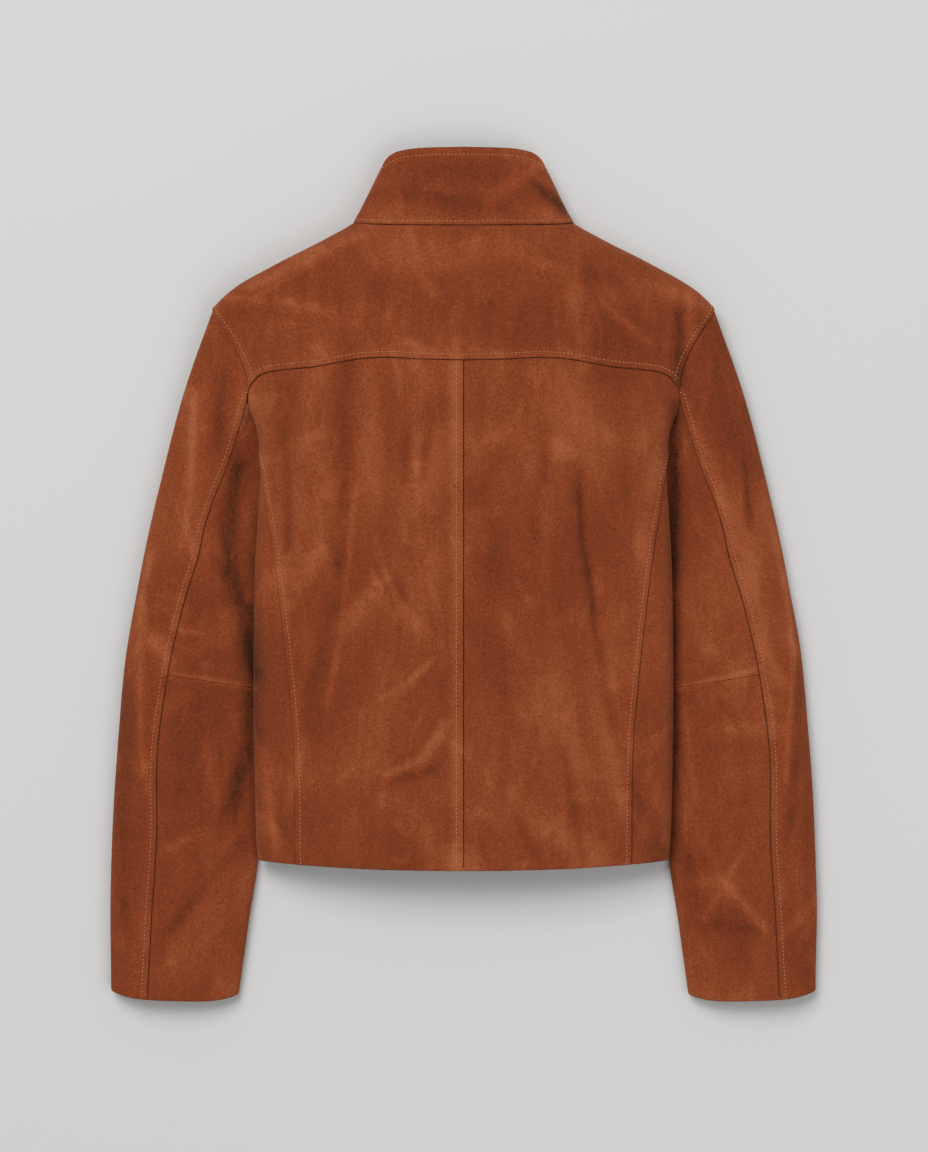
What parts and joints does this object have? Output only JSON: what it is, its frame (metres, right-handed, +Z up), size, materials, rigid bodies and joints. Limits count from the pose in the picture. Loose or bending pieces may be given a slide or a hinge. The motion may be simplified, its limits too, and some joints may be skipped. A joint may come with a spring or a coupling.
{
  "type": "suede jacket",
  "caption": "Cropped suede jacket with a stand collar, back yoke and two-piece sleeves, laid face down with its back up.",
  "frame": {"origin": "on the surface it lies on, at the middle of the jacket in plan", "axes": "+Y towards the collar, +X to the right seen from above, +Z up from the surface, out of the back"},
  "size_m": [0.6178, 0.7453, 0.05],
  "materials": {
    "suede": "rust brown suede with a soft nap",
    "suede_collar": "the same suede in two layers",
    "stud": "dull metal press stud"
  },
  "bodies": {
    "root": {"collar": "suede_collar", "yoke": "suede", "back_left": "suede", "back_right": "suede", "side_left": "suede", "side_right": "suede", "front_left": "suede", "front_right": "suede", "upper_sleeve_front_left": "suede", "upper_sleeve_front_right": "suede", "upper_sleeve_back_left": "suede", "upper_sleeve_back_right": "suede", "under_sleeve_top_left": "suede", "under_sleeve_top_right": "suede", "under_sleeve_low_left": "suede", "under_sleeve_low_right": "suede", "stud_1": "stud", "stud_2": "stud", "stud_3": "stud", "stud_4": "stud", "stud_5": "stud"}
  },
  "joints": []
}
